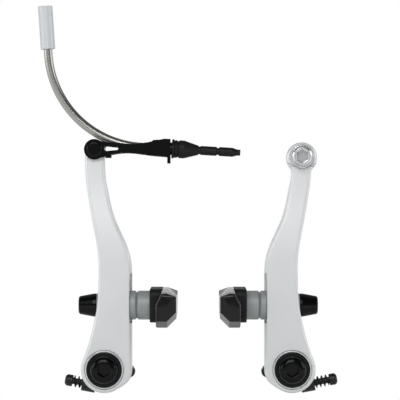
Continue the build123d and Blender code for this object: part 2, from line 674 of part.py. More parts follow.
def noodle_nose():
    """Collar crimped on the tube behind the link's end wall, with a neck through the keyhole."""
    inside = LINK_LENGTH - PLATE
    neck_end = PLATE + NECK_SHOWING + NECK_IN_BOOT
    bore = NOODLE_OD / 2 + RUN
    nose = turned_x(*chain([
        (-COLLAR_LENGTH, bore), (-COLLAR_LENGTH, COLLAR_RADIUS - 0.8), (-COLLAR_LENGTH + 1, COLLAR_RADIUS),
        (-SEAT, COLLAR_RADIUS), (-SEAT, NECK_RADIUS), (neck_end - 0.4, NECK_RADIUS),
        (neck_end, NECK_RADIUS - 0.4), (neck_end, bore),
    ]))
    return on_tip(nose, inside)


def cable_boot():
    """Rubber sleeve: two ridges, a bellows cone and two thin lengths between grooves."""
    neck = NECK_RADIUS + RUN
    tube = NOODLE_OD / 2 + RUN
    cable = BOOT_CABLE_BORE / 2
    tube_end = TUBE_IN_BOOT + SEAT
    ridge, rib, cone = BOOT_RIDGE_RADIUS, BOOT_RIB_RADIUS, BOOT_CONE_RADIUS
    sleeve, waist, tip = BOOT_SLEEVE_RADIUS, BOOT_WAIST_RADIUS, BOOT_TIP_RADIUS
    shape = [(0, ridge - 0.1), (0.01, ridge), (0.03, ridge), (0.04, rib - 0.3), (0.05, rib), (0.07, rib),
             (0.08, cone - 0.4), (0.1, cone - 0.4), (0.11, cone), (0.18, cone), (0.385, sleeve + 0.1),
             (0.395, waist + 0.2), (0.415, waist + 0.2), (0.425, sleeve), (0.65, sleeve), (0.66, waist),
             (0.685, waist), (0.695, sleeve), (0.885, sleeve), (0.955, tip), (1, tip)]
    outside = [(share * BOOT_LENGTH, radius) for share, radius in shape]
    inside = [(BOOT_LENGTH, cable), (tube_end + 1, cable), (tube_end, tube), (NECK_IN_BOOT + 2 * RUN, tube),
              (NECK_IN_BOOT + 2 * RUN, neck), (0, neck)]
    boot = turned_x(*chain(outside + inside))
    return on_tip(boot, LINK_LENGTH + NECK_SHOWING)


def anchor_seat():
    return TOP_FRONT + ANCHOR_SEAT_SUNK


def cable_anchor_washer():
    v = BOSS_V + ANCHOR_RISE - ANCHOR_WASHER_DROP
    washer = rod_y(ANCHOR_WASHER_OD / 2, anchor_seat(), ANCHOR_WASHER, BOSS_U, v)
    washer = fillet(washer.edges().group_by(Axis.Y)[0], 0.3)
    return washer - rod_y(M6_RADIUS + ANCHOR_WASHER_DROP + RUN, 5, 40, BOSS_U, v)


def cable_anchor_bolt():
    """Socket bolt that clamps the cable under its washer."""
    under = anchor_seat() - ANCHOR_WASHER
    head = rod_y(ANCHOR_HEAD_OD / 2, under, ANCHOR_HEAD)
    head = fillet(head.edges().group_by(Axis.Y)[0], 0.5)
    head -= upright(hexagon(SOCKET_FLATS), under - ANCHOR_HEAD + ANCHOR_SOCKET_DEPTH, ANCHOR_SOCKET_DEPTH + 5)
    shank = rod_y(M6_RADIUS, under + ANCHOR_SHANK, ANCHOR_SHANK)
    shank = chamfer(shank.edges().group_by(Axis.Y)[-1], 0.5)
    return Pos(BOSS_U, 0, BOSS_V + ANCHOR_RISE) * (head + shank)


def side_pieces(arm, screw_out):
    """Every piece of one side, by name, drawn about its own pivot."""
    inner_flat = ARM_INBOARD - SEAT_DEPTH
    inner_convex, inner_ball = convex_washer(inner_flat, WASHER_RIM, WASHER_RADIUS, WASHER_BORE, 1)
    outer_convex, outer_ball = convex_washer(
        POCKET_FLOOR, OUTER_WASHER_RIM, OUTER_WASHER_RADIUS, OUTER_WASHER_BORE, -1)
    return {
        "arm": arm,
        "pivot_bush": pivot_bush(),
        "mount_bolt": mount_bolt(),
        "front_washer": front_washer(),
        "spring_base": spring_base(),
        "return_spring": return_spring(),
        "spring_pin": spring_pin(),
        "adjust_screw": adjust_screw(screw_out),
        "inner_convex_washer": inner_convex,
        "inner_concave_washer": concave_washer(THICK_END, inner_ball, WASHER_RADIUS, 1),
        "outer_convex_washer": outer_convex,
        "outer_concave_washer": concave_washer(OUTER_STACK_END, outer_ball, OUTER_WASHER_RADIUS, -1),
        "shoe_nut": shoe_nut(),
        "shoe_stud": shoe_stud(),
        "brake_pad": brake_pad(),
    }


def all_pieces():
    pieces = {}
    for name, shape in side_pieces(left_arm(), LEFT_SCREW_OUT).items():
        pieces["left_" + name] = left(shape)
    for name, shape in side_pieces(right_arm(), RIGHT_SCREW_OUT).items():
        pieces["right_" + name] = right(shape)
    pieces["noodle_link"] = left(noodle_link())
    pieces["link_pin"] = left(link_pin())
    pieces["noodle_tube"] = left(noodle_pipe(NOODLE_OD, NOODLE_BORE))
    pieces["noodle_liner"] = left(noodle_pipe(LINER_OD, LINER_BORE))
    pieces["noodle_ferrule"] = left(noodle_ferrule())
    pieces["noodle_nose"] = left(noodle_nose())
    pieces["cable_boot"] = left(cable_boot())
    pieces["cable_anchor_bolt"] = right(cable_anchor_bolt())
    pieces["cable_anchor_washer"] = right(cable_anchor_washer())
    return pieces


for name, shape in all_pieces().items():
    export_step(shape, "parts/" + name + ".step")
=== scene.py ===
"""Dresses a linear-pull bicycle brake: turned and swept pieces, finishes, stage and camera."""
import json
from math import cos, pi, radians, sin, sqrt, tan

import bpy
import numpy as np
from bpy.props import FloatProperty, PointerProperty, StringProperty
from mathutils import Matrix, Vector


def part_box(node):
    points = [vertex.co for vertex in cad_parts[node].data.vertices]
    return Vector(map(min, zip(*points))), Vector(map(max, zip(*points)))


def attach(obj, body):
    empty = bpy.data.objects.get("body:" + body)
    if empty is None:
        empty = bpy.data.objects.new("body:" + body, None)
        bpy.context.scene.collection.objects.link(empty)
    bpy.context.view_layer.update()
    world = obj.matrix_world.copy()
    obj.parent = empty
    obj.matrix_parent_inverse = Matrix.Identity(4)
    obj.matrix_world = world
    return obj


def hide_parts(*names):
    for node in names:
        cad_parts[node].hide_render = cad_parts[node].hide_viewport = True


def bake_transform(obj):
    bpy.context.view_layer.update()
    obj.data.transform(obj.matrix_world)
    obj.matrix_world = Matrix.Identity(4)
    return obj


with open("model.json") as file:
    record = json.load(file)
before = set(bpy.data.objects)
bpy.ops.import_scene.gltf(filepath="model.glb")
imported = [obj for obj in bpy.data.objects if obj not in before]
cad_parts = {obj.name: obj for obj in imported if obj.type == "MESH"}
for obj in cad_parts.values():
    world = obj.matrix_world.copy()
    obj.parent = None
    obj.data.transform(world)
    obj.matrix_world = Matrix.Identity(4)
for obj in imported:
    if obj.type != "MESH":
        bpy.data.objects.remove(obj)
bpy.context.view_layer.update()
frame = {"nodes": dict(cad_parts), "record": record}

bl_info = {
    "name": "Linear-pull brake",
    "version": (1, 0, 0),
    "blender": (4, 5, 0),
    "location": "View3D > Sidebar > Brake",
    "description": "Builds the turned, swept and moulded pieces of a bicycle brake and their finishes",
    "category": "Object",
}

MM = 0.001
SIDES = ("left", "right")
ALONG_Y = (0, 1, 0)

# Sizes in mm that no node's box gives; profiles are in mm, and points in metres
SEAT_GAP = 0.03           # between flat faces of pieces that turn apart
BOLT_RADIUS = 3.0         # shanks of the mounting and anchor bolts
BOLT_CHAMFER = 0.6        # at the end of the mounting bolt
MOUNT_SOCKET_DEPTH = 4.0
ANCHOR_SOCKET_DEPTH = 2.8
RING_BORE = 3.25          # bright ring under the mounting bolt
BUSH_BORE = 4.05
ANCHOR_RING_BORE = 3.3
STUD_BORE = 3.05          # nut and concave washers on the stud
CONVEX_BORE = {"inner": 4.1, "outer": 3.6}
NUT_FLANGE = 1.2
NUT_TIP = 3.85            # radius of the nut's taper at its end
NUT_SOCKET_DEPTH = 3.4
PAD_TOP = 7.5             # above and below the stud
PAD_BOTTOM = -8.05
PAD_CORNER = 3.9          # cut corners of the braking face
PAD_SHOULDER = 4.5        # height of the cut corner above the base
PAD_SHOULDER_IN = 2.48    # and its length towards the rim
PAD_BASE_THICKNESS = 2.85
PAD_END_ROUND = 1.2       # rounding of the rubber's ends
BASE_HALF_LENGTH = 15.0   # the harder base that holds the stud
BASE_HALF_HEIGHT = 7.1
BASE_CORNER = 3.0
BASE_RISE = 0.3
BASE_REACH = 5.6
BASE_ROUND = 0.5
GROOVE_PLACES = np.array([-13, 0, 13])
GROOVE_DEPTH = 2.2
RIM_RADIUS = 311.0        # the pads curve with the wheel's rim
SPRING_KNEE = 11.2        # height of the wire's bend over its foot
SLEEVE_LENGTH = 18.5
SLEEVE_RADIUS = 3.1
BOOT_LENGTH = 29.4
BOOT_NECK_BORE = 2.75
BOOT_TUBE_BORE = 1.92
CABLE_BORE = 0.95
RIVET_SHANK = 2.5
RIVET_HEAD = 0.6

# Stage, in metres
FLOOR_LEVEL = -0.04
FLOOR_HALF = 4.0
SHADOW_REACH = (0.13, 0.24)           # the floor turns into plain light between these distances
FRONT_PLANE = -0.022                  # the brake's front, where the picture's scale holds
PICTURE_MIDDLE = (0.00076, 0.0722)    # X and Z that the camera looks at
SENSOR = 36.0                         # camera sensor width, millimetres
LAMP_AIM = (0, -0.01, 0.07)
SIDE_SHARE = 0.35                     # power of a side softbox over the front one's
LAMPS = (("front_softbox", (-0.12, -0.75, 0.55), 0.5, 1.0),
         ("left_softbox", (-0.7, -0.25, 0.25), 0.35, SIDE_SHARE),
         ("right_softbox", (0.7, -0.2, 0.3), 0.35, SIDE_SHARE))


def node_box(node):
    """Lowest and highest corner of a node, as arrays."""
    low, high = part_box(node)
    return np.array(low), np.array(high)


def round_along_y(node):
    """Middle in metres, then front, back and outer radius in mm, of a round node that lies along Y."""
    low, high = node_box(node)
    return (low + high) / 2, low[1] / MM, high[1] / MM, (high[0] - low[0]) / 2 / MM


def joint_of(name):
    """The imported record's joint of this name."""
    return next(j for j in frame["record"]["behaviour"]["joints"] if j["name"] == name)


def mount_of(name):
    """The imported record's mount of this name."""
    return next(m for m in frame["record"]["mounts"] if m["name"] == name)


def inboard(side):
    """+1 on the left, -1 on the right: the way along X from an arm to the rim."""
    return 1.0 if side == "left" else -1.0


def linear(hex_colour):
    """An sRGB hex value as linear red, green, blue and alpha."""
    parts = np.array([int(hex_colour[i:i + 2], 16) for i in (1, 3, 5)]) / 255
    curve = np.where(parts <= 0.04045, parts / 12.92, ((parts + 0.055) / 1.055) ** 2.4)
    return (*curve.tolist(), 1.0)


def add_node(tree, kind, values=None, links=None, **settings):
    """Adds a node, sets its properties and sockets, and links its inputs to other nodes' outputs."""
    node = tree.nodes.new(kind)
    for name, value in settings.items():
        setattr(node, name, value)
    for socket, value in (values or {}).items():
        node.inputs[socket].default_value = value
    for socket, source in (links or {}).items():
        tree.links.new(source, node.inputs[socket])
    return node


def new_finish(name, hex_colour, metallic, roughness, **sockets):
    """A Principled material with its constant values on the shader's own sockets."""
    finish = bpy.data.materials.new(name)
    finish.use_nodes = True
    tree = finish.node_tree
    tree.nodes.clear()
    values = {"Base Color": linear(hex_colour), "Metallic": metallic, "Roughness": roughness}
    values.update({key.replace("_", " "): value for key, value in sockets.items()})
    shader = add_node(tree, "ShaderNodeBsdfPrincipled", values)
    add_node(tree, "ShaderNodeOutputMaterial", links={"Surface": shader.outputs["BSDF"]})
    return finish, tree, shader


# Finishes. The real flake, crystals and mould grain are finer than the picture shows, so each pattern's
# size in mm is drawn coarse enough to be seen.

def silver_paint(colours):
    """Silver paint on forged aluminium: pale and even, a soft sheen with faint clouds and orange peel."""
    flake_size, cloud_size = 0.30, 22
    finish, tree, shader = new_finish("silver_paint_forged_aluminium", colours.arm, 0.35, 0.42,
                                      Coat_Weight=0.25, Coat_Roughness=0.18)
    place = add_node(tree, "ShaderNodeTexCoord").outputs["Object"]
    flake = add_node(tree, "ShaderNodeTexNoise", {"Scale": 1 / (flake_size * MM), "Detail": 2.0},
                     {"Vector": place})
    cloud = add_node(tree, "ShaderNodeTexNoise", {"Scale": 1 / (cloud_size * MM), "Detail": 1.0},
                     {"Vector": place})
    tone = add_node(tree, "ShaderNodeMix", {"A": linear(colours.arm), "B": linear(colours.arm_shade)},
                    data_type="RGBA")
    amount = add_node(tree, "ShaderNodeMapRange", {"From Min": 0.3, "From Max": 0.75, "To Max": 0.30},
                      {"Value": cloud.outputs["Fac"]})
    tree.links.new(amount.outputs["Result"], tone.inputs["Factor"])
    tree.links.new(tone.outputs[2], shader.inputs["Base Color"])
    rough = add_node(tree, "ShaderNodeMapRange", {"To Min": 0.39, "To Max": 0.47},
                     {"Value": flake.outputs["Fac"]})
    tree.links.new(rough.outputs["Result"], shader.inputs["Roughness"])
    peel = add_node(tree, "ShaderNodeBump", {"Strength": 0.03, "Distance": 0.02 * MM},
                    {"Height": flake.outputs["Fac"]})
    tree.links.new(peel.outputs["Normal"], shader.inputs["Normal"])
    return finish


def grained(name, hex_colour, metallic, roughness, grain, spread, relief=0.04, detail=3.0, **sockets):
    """Roughness less and plus the spread's two values, over a noise of the grain's size in mm."""
    finish, tree, shader = new_finish(name, hex_colour, metallic, roughness, **sockets)
    place = add_node(tree, "ShaderNodeTexCoord").outputs["Object"]
    fine = add_node(tree, "ShaderNodeTexNoise", {"Scale": 1 / (grain * MM), "Detail": detail},
                    {"Vector": place})
    rough = add_node(tree, "ShaderNodeMapRange",
                     {"To Min": roughness - spread[0], "To Max": roughness + spread[1]},
                     {"Value": fine.outputs["Fac"]})
    tree.links.new(rough.outputs["Result"], shader.inputs["Roughness"])
    bump = add_node(tree, "ShaderNodeBump", {"Strength": relief, "Distance": 0.03 * MM},
                    {"Height": fine.outputs["Fac"]})
    tree.links.new(bump.outputs["Normal"], shader.inputs["Normal"])
    return finish


def zinc_steel(colours):
    """Zinc-plated turned steel: mid grey, faint crystals."""
    return grained("zinc_plated_steel", colours.steel, 1.0, 0.32, 0.8, (0.08, 0.08))


def bright_zinc(colours):
    """Bright zinc plate: nearly white metal whose rims catch the light."""
    return grained("bright_zinc_plate", colours.bright, 0.8, 0.26, 0.7, (0.03, 0.03))


def black_plate(colours):
    """Glossy black plate over steel: near black, with narrow highlights on its edges."""
    return grained("black_plated_steel", colours.black_steel, 0.7, 0.2, 0.5, (0.04, 0.04))


def grey_washer_plate(colours):
    """Satin grey plate on pressed washers: dull mid grey, no clear reflections."""
    return grained("satin_grey_plate", colours.washer, 0.3, 0.52, 0.6, (0.06, 0.06))


def drawn_stainless(colours):
    """Drawn stainless tube: satin polished, with fine lines along its length on the piece's UV map.

    Its lines are as many as fit round half the tube about 0.25 mm apart.
    """
    lines_round, lines_along = 24.0, 1.0
    finish, tree, shader = new_finish("drawn_stainless_tube", colours.stainless, 1.0, 0.27)
    place = add_node(tree, "ShaderNodeUVMap", uv_map="UVMap").outputs["UV"]
    stretched = add_node(tree, "ShaderNodeMapping", {"Scale": (lines_round, lines_along, 1.0)},
                         {"Vector": place})
    lines = add_node(tree, "ShaderNodeTexNoise", {"Scale": 1.0, "Detail": 2.0},
                     {"Vector": stretched.outputs["Vector"]})
    rough = add_node(tree, "ShaderNodeMapRange", {"To Min": 0.26, "To Max": 0.34},
                     {"Value": lines.outputs["Fac"]})
    tree.links.new(rough.outputs["Result"], shader.inputs["Roughness"])
    return finish


def satin_anodised(colours):
    """Satin anodised aluminium sleeve: pale, blasted, even."""
    return grained("satin_anodised_aluminium", colours.ferrule, 0.35, 0.5, 0.4, (0.03, 0.03), relief=0.0)


def moulded_black(name, hex_colour, roughness, grain, gloss):
    """Moulded black plastic or rubber: near black, its sheen broken by the mould's eroded texture."""
    return grained(name, hex_colour, 0.0, roughness, grain, (0.05, 0.08), relief=0.1, detail=4.0,
                   Specular_IOR_Level=gloss)


def liner_plastic(colours):
    """Natural low-friction plastic: milky white, slightly uneven in gloss."""
    return grained("natural_liner_plastic", colours.liner, 0.0, 0.4, 0.6, (0.06, 0.06))


# Surfaces

def rounded(corners, closed):
    """Profile through corners (along, radius, rounding), each corner an arc tangent to its two sides.

    The arc's ends lie at rounding / tan(half the corner) from the corner, at most just short of a side's
    middle, and a point a little way along each side keeps the shading flat there.
    """
    side_share, arc_points = 0.48, 7
    count = len(corners)
    points = np.array([corner[:2] for corner in corners], dtype=float)
    out = []
    for index, (_, _, radius) in enumerate(corners):
        here = points[index]
        if radius == 0 or (not closed and index in (0, count - 1)):
            out.append(here[None])
            continue
        before, after = points[index - 1] - here, points[(index + 1) % count] - here
        a, b = before / np.linalg.norm(before), after / np.linalg.norm(after)
        if a @ b < -0.9999:
            out.append(here[None])
            continue
        half = np.arccos(np.clip(a @ b, -1, 1)) / 2
        shorter = min(np.linalg.norm(before), np.linalg.norm(after))
        reach = min(radius / tan(half), side_share * shorter)
        radius = reach * tan(half)
        middle = here + (a + b) / np.linalg.norm(a + b) * radius / sin(half)
        start, end = here + a * reach, here + b * reach
        turn = np.linspace(0, 1, arc_points)[:, None]
        first, last = start - middle, end - middle
        sweep = pi - 2 * half
        arc = middle + (first * np.sin((1 - turn) * sweep) + last * np.sin(turn * sweep)) / sin(sweep)
        step = min(0.15 * reach, 0.06)
        out += [(start + a * step)[None], arc, (end + b * step)[None]]
    return np.concatenate(out)


def grid_faces(rows, columns, wrap_rows):
    """Four corner indices of every cell of a grid whose columns close on themselves."""
    row = np.arange(rows if wrap_rows else rows - 1)[:, None]
    column = np.arange(columns)[None]
    below, above = row * columns, (row + 1) % rows * columns
    beside = (column + 1) % columns
    cells = np.stack([below + column, below + beside, above + beside, above + column], -1)
    return cells.reshape(-1, 4)


def outward(points, quads, caps):
    """Turns every face over if the closed shell's signed volume is negative."""
    triangles = np.concatenate([quads[:, :3], quads[:, [0, 2, 3]], caps])
    a, b, c = points[triangles].transpose(1, 0, 2)
    turn = slice(None) if (a * np.cross(b, c)).sum() > 0 else slice(None, None, -1)
    return quads[:, turn], caps[:, turn]


def shell(grid, wrap_rows):
    """Points, quads and triangles of a closed surface given as a grid; open ends close on a middle point."""
    rows, columns = grid.shape[:2]
    points = grid.reshape(-1, 3)
    quads, caps = grid_faces(rows, columns, wrap_rows), np.zeros((0, 3), dtype=int)
    if not wrap_rows:
        points = np.concatenate([points, grid[:1].mean(1), grid[-1:].mean(1)])
        column = np.arange(columns)
        beside = (column + 1) % columns
        pole, last = np.full(columns, rows * columns), (rows - 1) * columns
        caps = np.concatenate([np.stack([pole, beside, column], -1),
                               np.stack([pole + 1, last + column, last + beside], -1)])
    return points, *outward(points, quads, caps)


def to_object(name, surface, finish, sharp=40.0):
    """Closed shell as an object at the origin, smooth but for edges over an angle."""
    points, quads, caps = surface
    mesh = bpy.data.meshes.new(name)
    mesh.from_pydata(points.tolist(), [], quads.tolist() + caps.tolist())
    mesh.shade_smooth()
    mesh.set_sharp_from_angle(angle=radians(sharp))
    mesh.materials.append(finish)
    piece = bpy.data.objects.new(name, mesh)
    bpy.context.scene.collection.objects.link(piece)
    return piece


def cross_axes(axis):
    """Two unit vectors square to an axis and to each other."""
    axis = np.array(axis, dtype=float) / np.linalg.norm(axis)
    helper = np.array([0.0, 0.0, 1.0]) if abs(axis[2]) < 0.9 else np.array([0.0, 1.0, 0.0])
    side = np.cross(helper, axis)
    side /= np.linalg.norm(side)
    return axis, side, np.cross(axis, side)


def hexagon(angle):
    """Radius of a hexagon over its inner circle's, at an angle: 1 / cos of the angle to the nearest flat."""
    return 1 / np.cos((angle + pi / 6) % (pi / 3) - pi / 6)


def turned(profile, origin, axis, closed=False, hexed=None, steps=96):
    """Surface of revolution: profile rows are (along, radius) in mm; rows marked hexed follow a hexagon.

    A profile that isn't closed starts and ends a hair off the axis, where a middle point closes it.
    """
    axis, side, up = cross_axes(axis)
    angle = np.linspace(0, 2 * pi, steps, endpoint=False)
    radius = profile[:, 1, None] * np.ones(steps)
    if hexed is not None:
        radius = np.where(hexed[:, None], radius * hexagon(angle), radius)
    ring = radius[..., None] * (np.cos(angle)[:, None] * side + np.sin(angle)[:, None] * up)
    grid = np.array(origin) + MM * (profile[:, 0, None, None] * axis + ring)
    return shell(grid, closed)


def turned_along_y(profile, middle, closed=False, hexed=None):
    """The same surface about a line along Y through a middle point."""
    return turned(profile, (middle[0], 0, middle[2]), ALONG_Y, closed, hexed)


def socket_head(outline, radius, top, depth):
    """Outline to the top, then down a hexagon socket to its floor: profile and the rows on the hexagon."""
    mouth, corner = 0.15, 0.1
    floor = top + depth
    socket = np.array([(top, radius + mouth), (top + 0.12, radius), (top + depth * 0.5, radius),
                       (floor - corner, radius), (floor, radius - corner), (floor, 0.02)])
    profile = np.concatenate([outline, socket])
    hexed = np.arange(len(profile)) >= len(outline)
    return profile, hexed


def along_path(path, radius, steps=48):
    """Tube surface: a circle in the plane of Y and the square to the path, at each point of the path."""
    run = np.gradient(path, axis=0)
    run /= np.linalg.norm(run, axis=1)[:, None]
    side = np.array([0.0, 1.0, 0.0])
    up = np.cross(run, side)
    angle = np.linspace(0, 2 * pi, steps, endpoint=False)
    ring = np.cos(angle)[:, None] * side + np.sin(angle)[:, None] * up[:, None]
    return path[:, None] + np.asarray(radius).reshape(-1, 1, 1) * ring


def add_piece(name, surface, finish, body, node, sharp=40.0):
    """One new piece from a closed surface, riding on a body in place of a node."""
    piece = to_object(name, surface, bpy.data.materials[finish], sharp)
    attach(piece, body)
    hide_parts(node)
    return piece


def finish_node(node, finish):
    """Gives a kept node its finish."""
    target = frame["nodes"][node]
    target.data.materials.clear()
    target.data.materials.append(finish)


# Settings

def length(name, default, description):
    """A size that is given in mm and kept in metres."""
    return FloatProperty(name=name, description=description, default=default * MM, min=0.0, unit="LENGTH")


class BrakeColours(bpy.types.PropertyGroup):
    """Colours of the brake's finishes as sRGB hex values."""
    arm: StringProperty(name="Arm", description="Silver paint of the arms", default="#DCDEDF")
    arm_shade: StringProperty(name="Arm shade", description="Darker clouds in the paint", default="#CDD0D2")
    steel: StringProperty(name="Steel", description="Zinc-plated steel", default="#A9ABAD")
    bright: StringProperty(name="Bright zinc", description="Anchor bolt, washer and rings", default="#D4D6D7")
    black_steel: StringProperty(name="Black plate", description="Bolts, link and nuts", default="#0F1011")
    washer: StringProperty(name="Washers", description="Grey shoe washers", default="#9DA1A1")
    stainless: StringProperty(name="Stainless", description="Bent guide tube", default="#A3A4A0")
    ferrule: StringProperty(name="Sleeve", description="Housing sleeve", default="#C6C9CC")
    rubber: StringProperty(name="Rubber", description="Pads and boot", default="#0E0F10")
    plastic: StringProperty(name="Plastic", description="Spring blocks and adjusters", default="#0C0D0E")
    liner: StringProperty(name="Liner", description="Liner inside the guide tube", default="#E6E4DC")


class BrakeSizes(bpy.types.PropertyGroup):
    """Sizes that the turned and swept pieces are drawn from."""
    socket: length("Socket", 5.0, "Hexagon socket across its flats")
    dome: length("Dome", 12.4, "Diameter of the mounting bolt's dome")
    flange: length("Flange", 1.3, "Thickness of the mounting bolt's flange")
    pitch: length("Adjuster pitch", 1.8, "Rise of the adjuster's thread in one turn")
    minor: length("Adjuster core", 2.7, "Core diameter of the adjuster's thread")
    major: length("Adjuster crest", 5.1, "Crest diameter of the adjuster's thread")
    adjuster_head: length("Adjuster head", 5.0, "Diameter of the adjuster's head")
    adjuster_head_length: length("Adjuster head length", 3.4, "Length of the adjuster's head")
    pad: length("Pad length", 60.0, "Length of a brake pad")
    pad_bevel: length("Pad bevel", 4.1, "Height of the bevel under each end of a pad")
    pad_bevel_length: length("Pad bevel length", 14.0, "Length of the bevel under each end of a pad")
    groove: length("Groove", 1.6, "Width of a pad's water grooves")
    wire: length("Spring wire", 1.8, "Diameter of the return springs' wire")
    tube: length("Guide tube", 3.74, "Outer diameter of the bent tube")
    tube_bore: length("Guide bore", 2.4, "Bore of the bent tube")
    bend: length("Guide bend", 42.4, "Radius of the bent tube's centre line")


class StageSettings(bpy.types.PropertyGroup):
    """The camera's place and the studio light."""
    distance: FloatProperty(name="Distance", description="Camera to the brake's front", default=0.9,
                            unit="LENGTH")
    view_height: length("View height", 169.9, "Height that the picture shows at the brake's front")
    key: FloatProperty(name="Key", description="Power of the front softbox in watts", default=3.4, min=0.0)
    fill: FloatProperty(name="World", description="Strength of the even white surround", default=0.42,
                        min=0.0)


class BRAKE_OT_finishes(bpy.types.Operator):
    """Makes every finish and gives the kept nodes theirs"""
    bl_idname = "brake.finishes"
    bl_label = "Finishes"

    def execute(self, context):
        colours = context.scene.brake_colours
        silver, steel = silver_paint(colours), zinc_steel(colours)
        bright_zinc(colours)
        black = black_plate(colours)
        grey_washer_plate(colours)
        drawn_stainless(colours)
        satin_anodised(colours)
        plastic = moulded_black("moulded_black_plastic", colours.plastic, 0.36, 0.35, 0.4)
        moulded_black("moulded_black_rubber", colours.rubber, 0.5, 0.45, 0.25)
        moulded_black("glossy_moulded_rubber", colours.rubber, 0.17, 0.45, 0.3)
        liner = liner_plastic(colours)
        for side in SIDES:
            finish_node(side + "_arm", silver)
            finish_node(side + "_spring_base", plastic)
            finish_node(side + "_spring_pin", steel)
            finish_node(side + "_shoe_stud", steel)
        finish_node("noodle_link", black)
        finish_node("noodle_nose", black)
        finish_node("noodle_liner", liner)
        return {"FINISHED"}


class BRAKE_OT_pivot_hardware(bpy.types.Operator):
    """Turns the mounting bolts, their bright rings and the pivot bushes"""
    bl_idname = "brake.pivot_hardware"
    bl_label = "Pivot hardware"

    def execute(self, context):
        sizes = context.scene.brake_sizes
        for side in SIDES:
            self.bolt(side, sizes)
            self.ring(side)
            self.bush(side)
        return {"FINISHED"}

    def bolt(self, side, sizes):
        """Dome: a quadratic curve from the flange to the socket's rim; the shank is a plain chamfered bar."""
        middle, front, back, flange = round_along_y(side + "_mount_bolt")
        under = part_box(side + "_front_washer")[0][1] / MM
        dome, socket = sizes.dome / MM / 2, sizes.socket / MM / 2
        rim = socket * 1.2
        face = under - sizes.flange / MM
        turn = np.linspace(0.0, 1.0, 15)[:, None]
        knee = np.array([face - (face - front) * 0.98, dome * 0.93])
        start, end = np.array([face, dome]), np.array([front, rim])
        cap = (1 - turn) ** 2 * start + 2 * turn * (1 - turn) * knee + turn ** 2 * end
        shank = rounded([(back, 0.01, 0), (back, BOLT_RADIUS - BOLT_CHAMFER, 0),
                         (back - BOLT_CHAMFER, BOLT_RADIUS, 0.1), (under, BOLT_RADIUS, 0.15),
                         (under, flange, 0.2), (face, flange, 0.45), (face, dome, 0)], False)
        outline = np.concatenate([shank, cap])
        profile, hexed = socket_head(outline, socket, front, MOUNT_SOCKET_DEPTH)
        add_piece(side + "_dome_bolt", turned_along_y(profile, middle, hexed=hexed), "black_plated_steel",
                  "frame_fittings", side + "_mount_bolt")

    def ring(self, side):
        """Flat ring with broken edges, closed on itself."""
        middle, front, back, outer = round_along_y(side + "_front_washer")
        profile = rounded([(front, RING_BORE, 0.1), (front, outer, 0.2), (back, outer, 0.2),
                           (back, RING_BORE, 0.1)], True)
        add_piece(side + "_bright_ring", turned_along_y(profile, middle, closed=True), "bright_zinc_plate",
                  "frame_fittings", side + "_front_washer")

    def bush(self, side):
        """Plain bush with broken edges."""
        middle, front, back, outer = round_along_y(side + "_pivot_bush")
        edge = 0.25
        profile = rounded([(front, BUSH_BORE, edge), (front, outer, edge), (back, outer, edge),
                           (back, BUSH_BORE, edge)], True)
        add_piece(side + "_turned_bush", turned_along_y(profile, middle, closed=True), "zinc_plated_steel",
                  "frame_fittings", side + "_pivot_bush")


class BRAKE_OT_adjusters(bpy.types.Operator):
    """Makes the adjuster screws with their coarse helical thread"""
    bl_idname = "brake.adjusters"
    bl_label = "Adjusters"

    def execute(self, context):
        sizes = context.scene.brake_sizes
        for side in SIDES:
            self.screw(side, sizes)
        return {"FINISHED"}

    def screw(self, side, sizes):
        """Radius = core + crest height of the phase (along / pitch - angle / turn), fading at both ends."""
        crest_half, flank = 0.09, 0.19  # in turns of the phase
        run_in, run_out, tip_length, tip_cut = 1.2, 0.5, 0.5, 0.45
        tip_inset, head_inset = 0.16, 0.02  # inside the node's ends
        steps, rows = 72, 240
        joint = joint_of(side + "_adjuster_turn")
        axis, across, up = cross_axes(joint["axis"])
        low, high = node_box(side + "_adjust_screw")
        pivot = np.array(joint["pos_m"])
        core, crest_radius, head = (size / MM / 2 for size in (sizes.minor, sizes.major, sizes.adjuster_head))
        ends = np.sort(np.abs(np.array([low[0], high[0]]) - pivot[0])) / MM / abs(axis[0])
        start, end = ends[0] + tip_inset, ends[1] - head_inset
        neck = end - sizes.adjuster_head_length / MM
        angle = np.linspace(0, 2 * pi, steps, endpoint=False)
        along = np.linspace(start, neck, rows)
        phase = (along[:, None] / (sizes.pitch / MM) - angle / (2 * pi)) % 1.0
        crest = np.clip(1.0 - (np.abs(phase - 0.5) - crest_half) / flank, 0, 1)
        fade = np.clip((along - start - 0.2) / run_in, 0, 1) * np.clip((neck - along) / run_out, 0, 1)
        tip = np.clip((along - start) / tip_length, 0, 1)
        radius = (core - tip_cut * (1 - tip))[:, None] + (crest_radius - core - 0.03) * crest * fade[:, None]
        cap = rounded([(neck, core, 0), (neck, head, 0.3), (end - 0.9, head, 0.5),
                       (end - 0.12, head * 0.68, 0.9), (end, 1.0, 0.3), (end, 0.02, 0)], False)
        along = np.concatenate([along, cap[:, 0]])
        radius = np.concatenate([radius, cap[:, 1, None] * np.ones(steps)])
        ring = radius[..., None] * (np.cos(angle)[:, None] * across + np.sin(angle)[:, None] * up)
        grid = pivot + MM * (along[:, None, None] * axis + ring)
        add_piece(side + "_threaded_adjuster", shell(grid, False), "moulded_black_plastic",
                  side + "_adjuster", side + "_adjust_screw", 50)


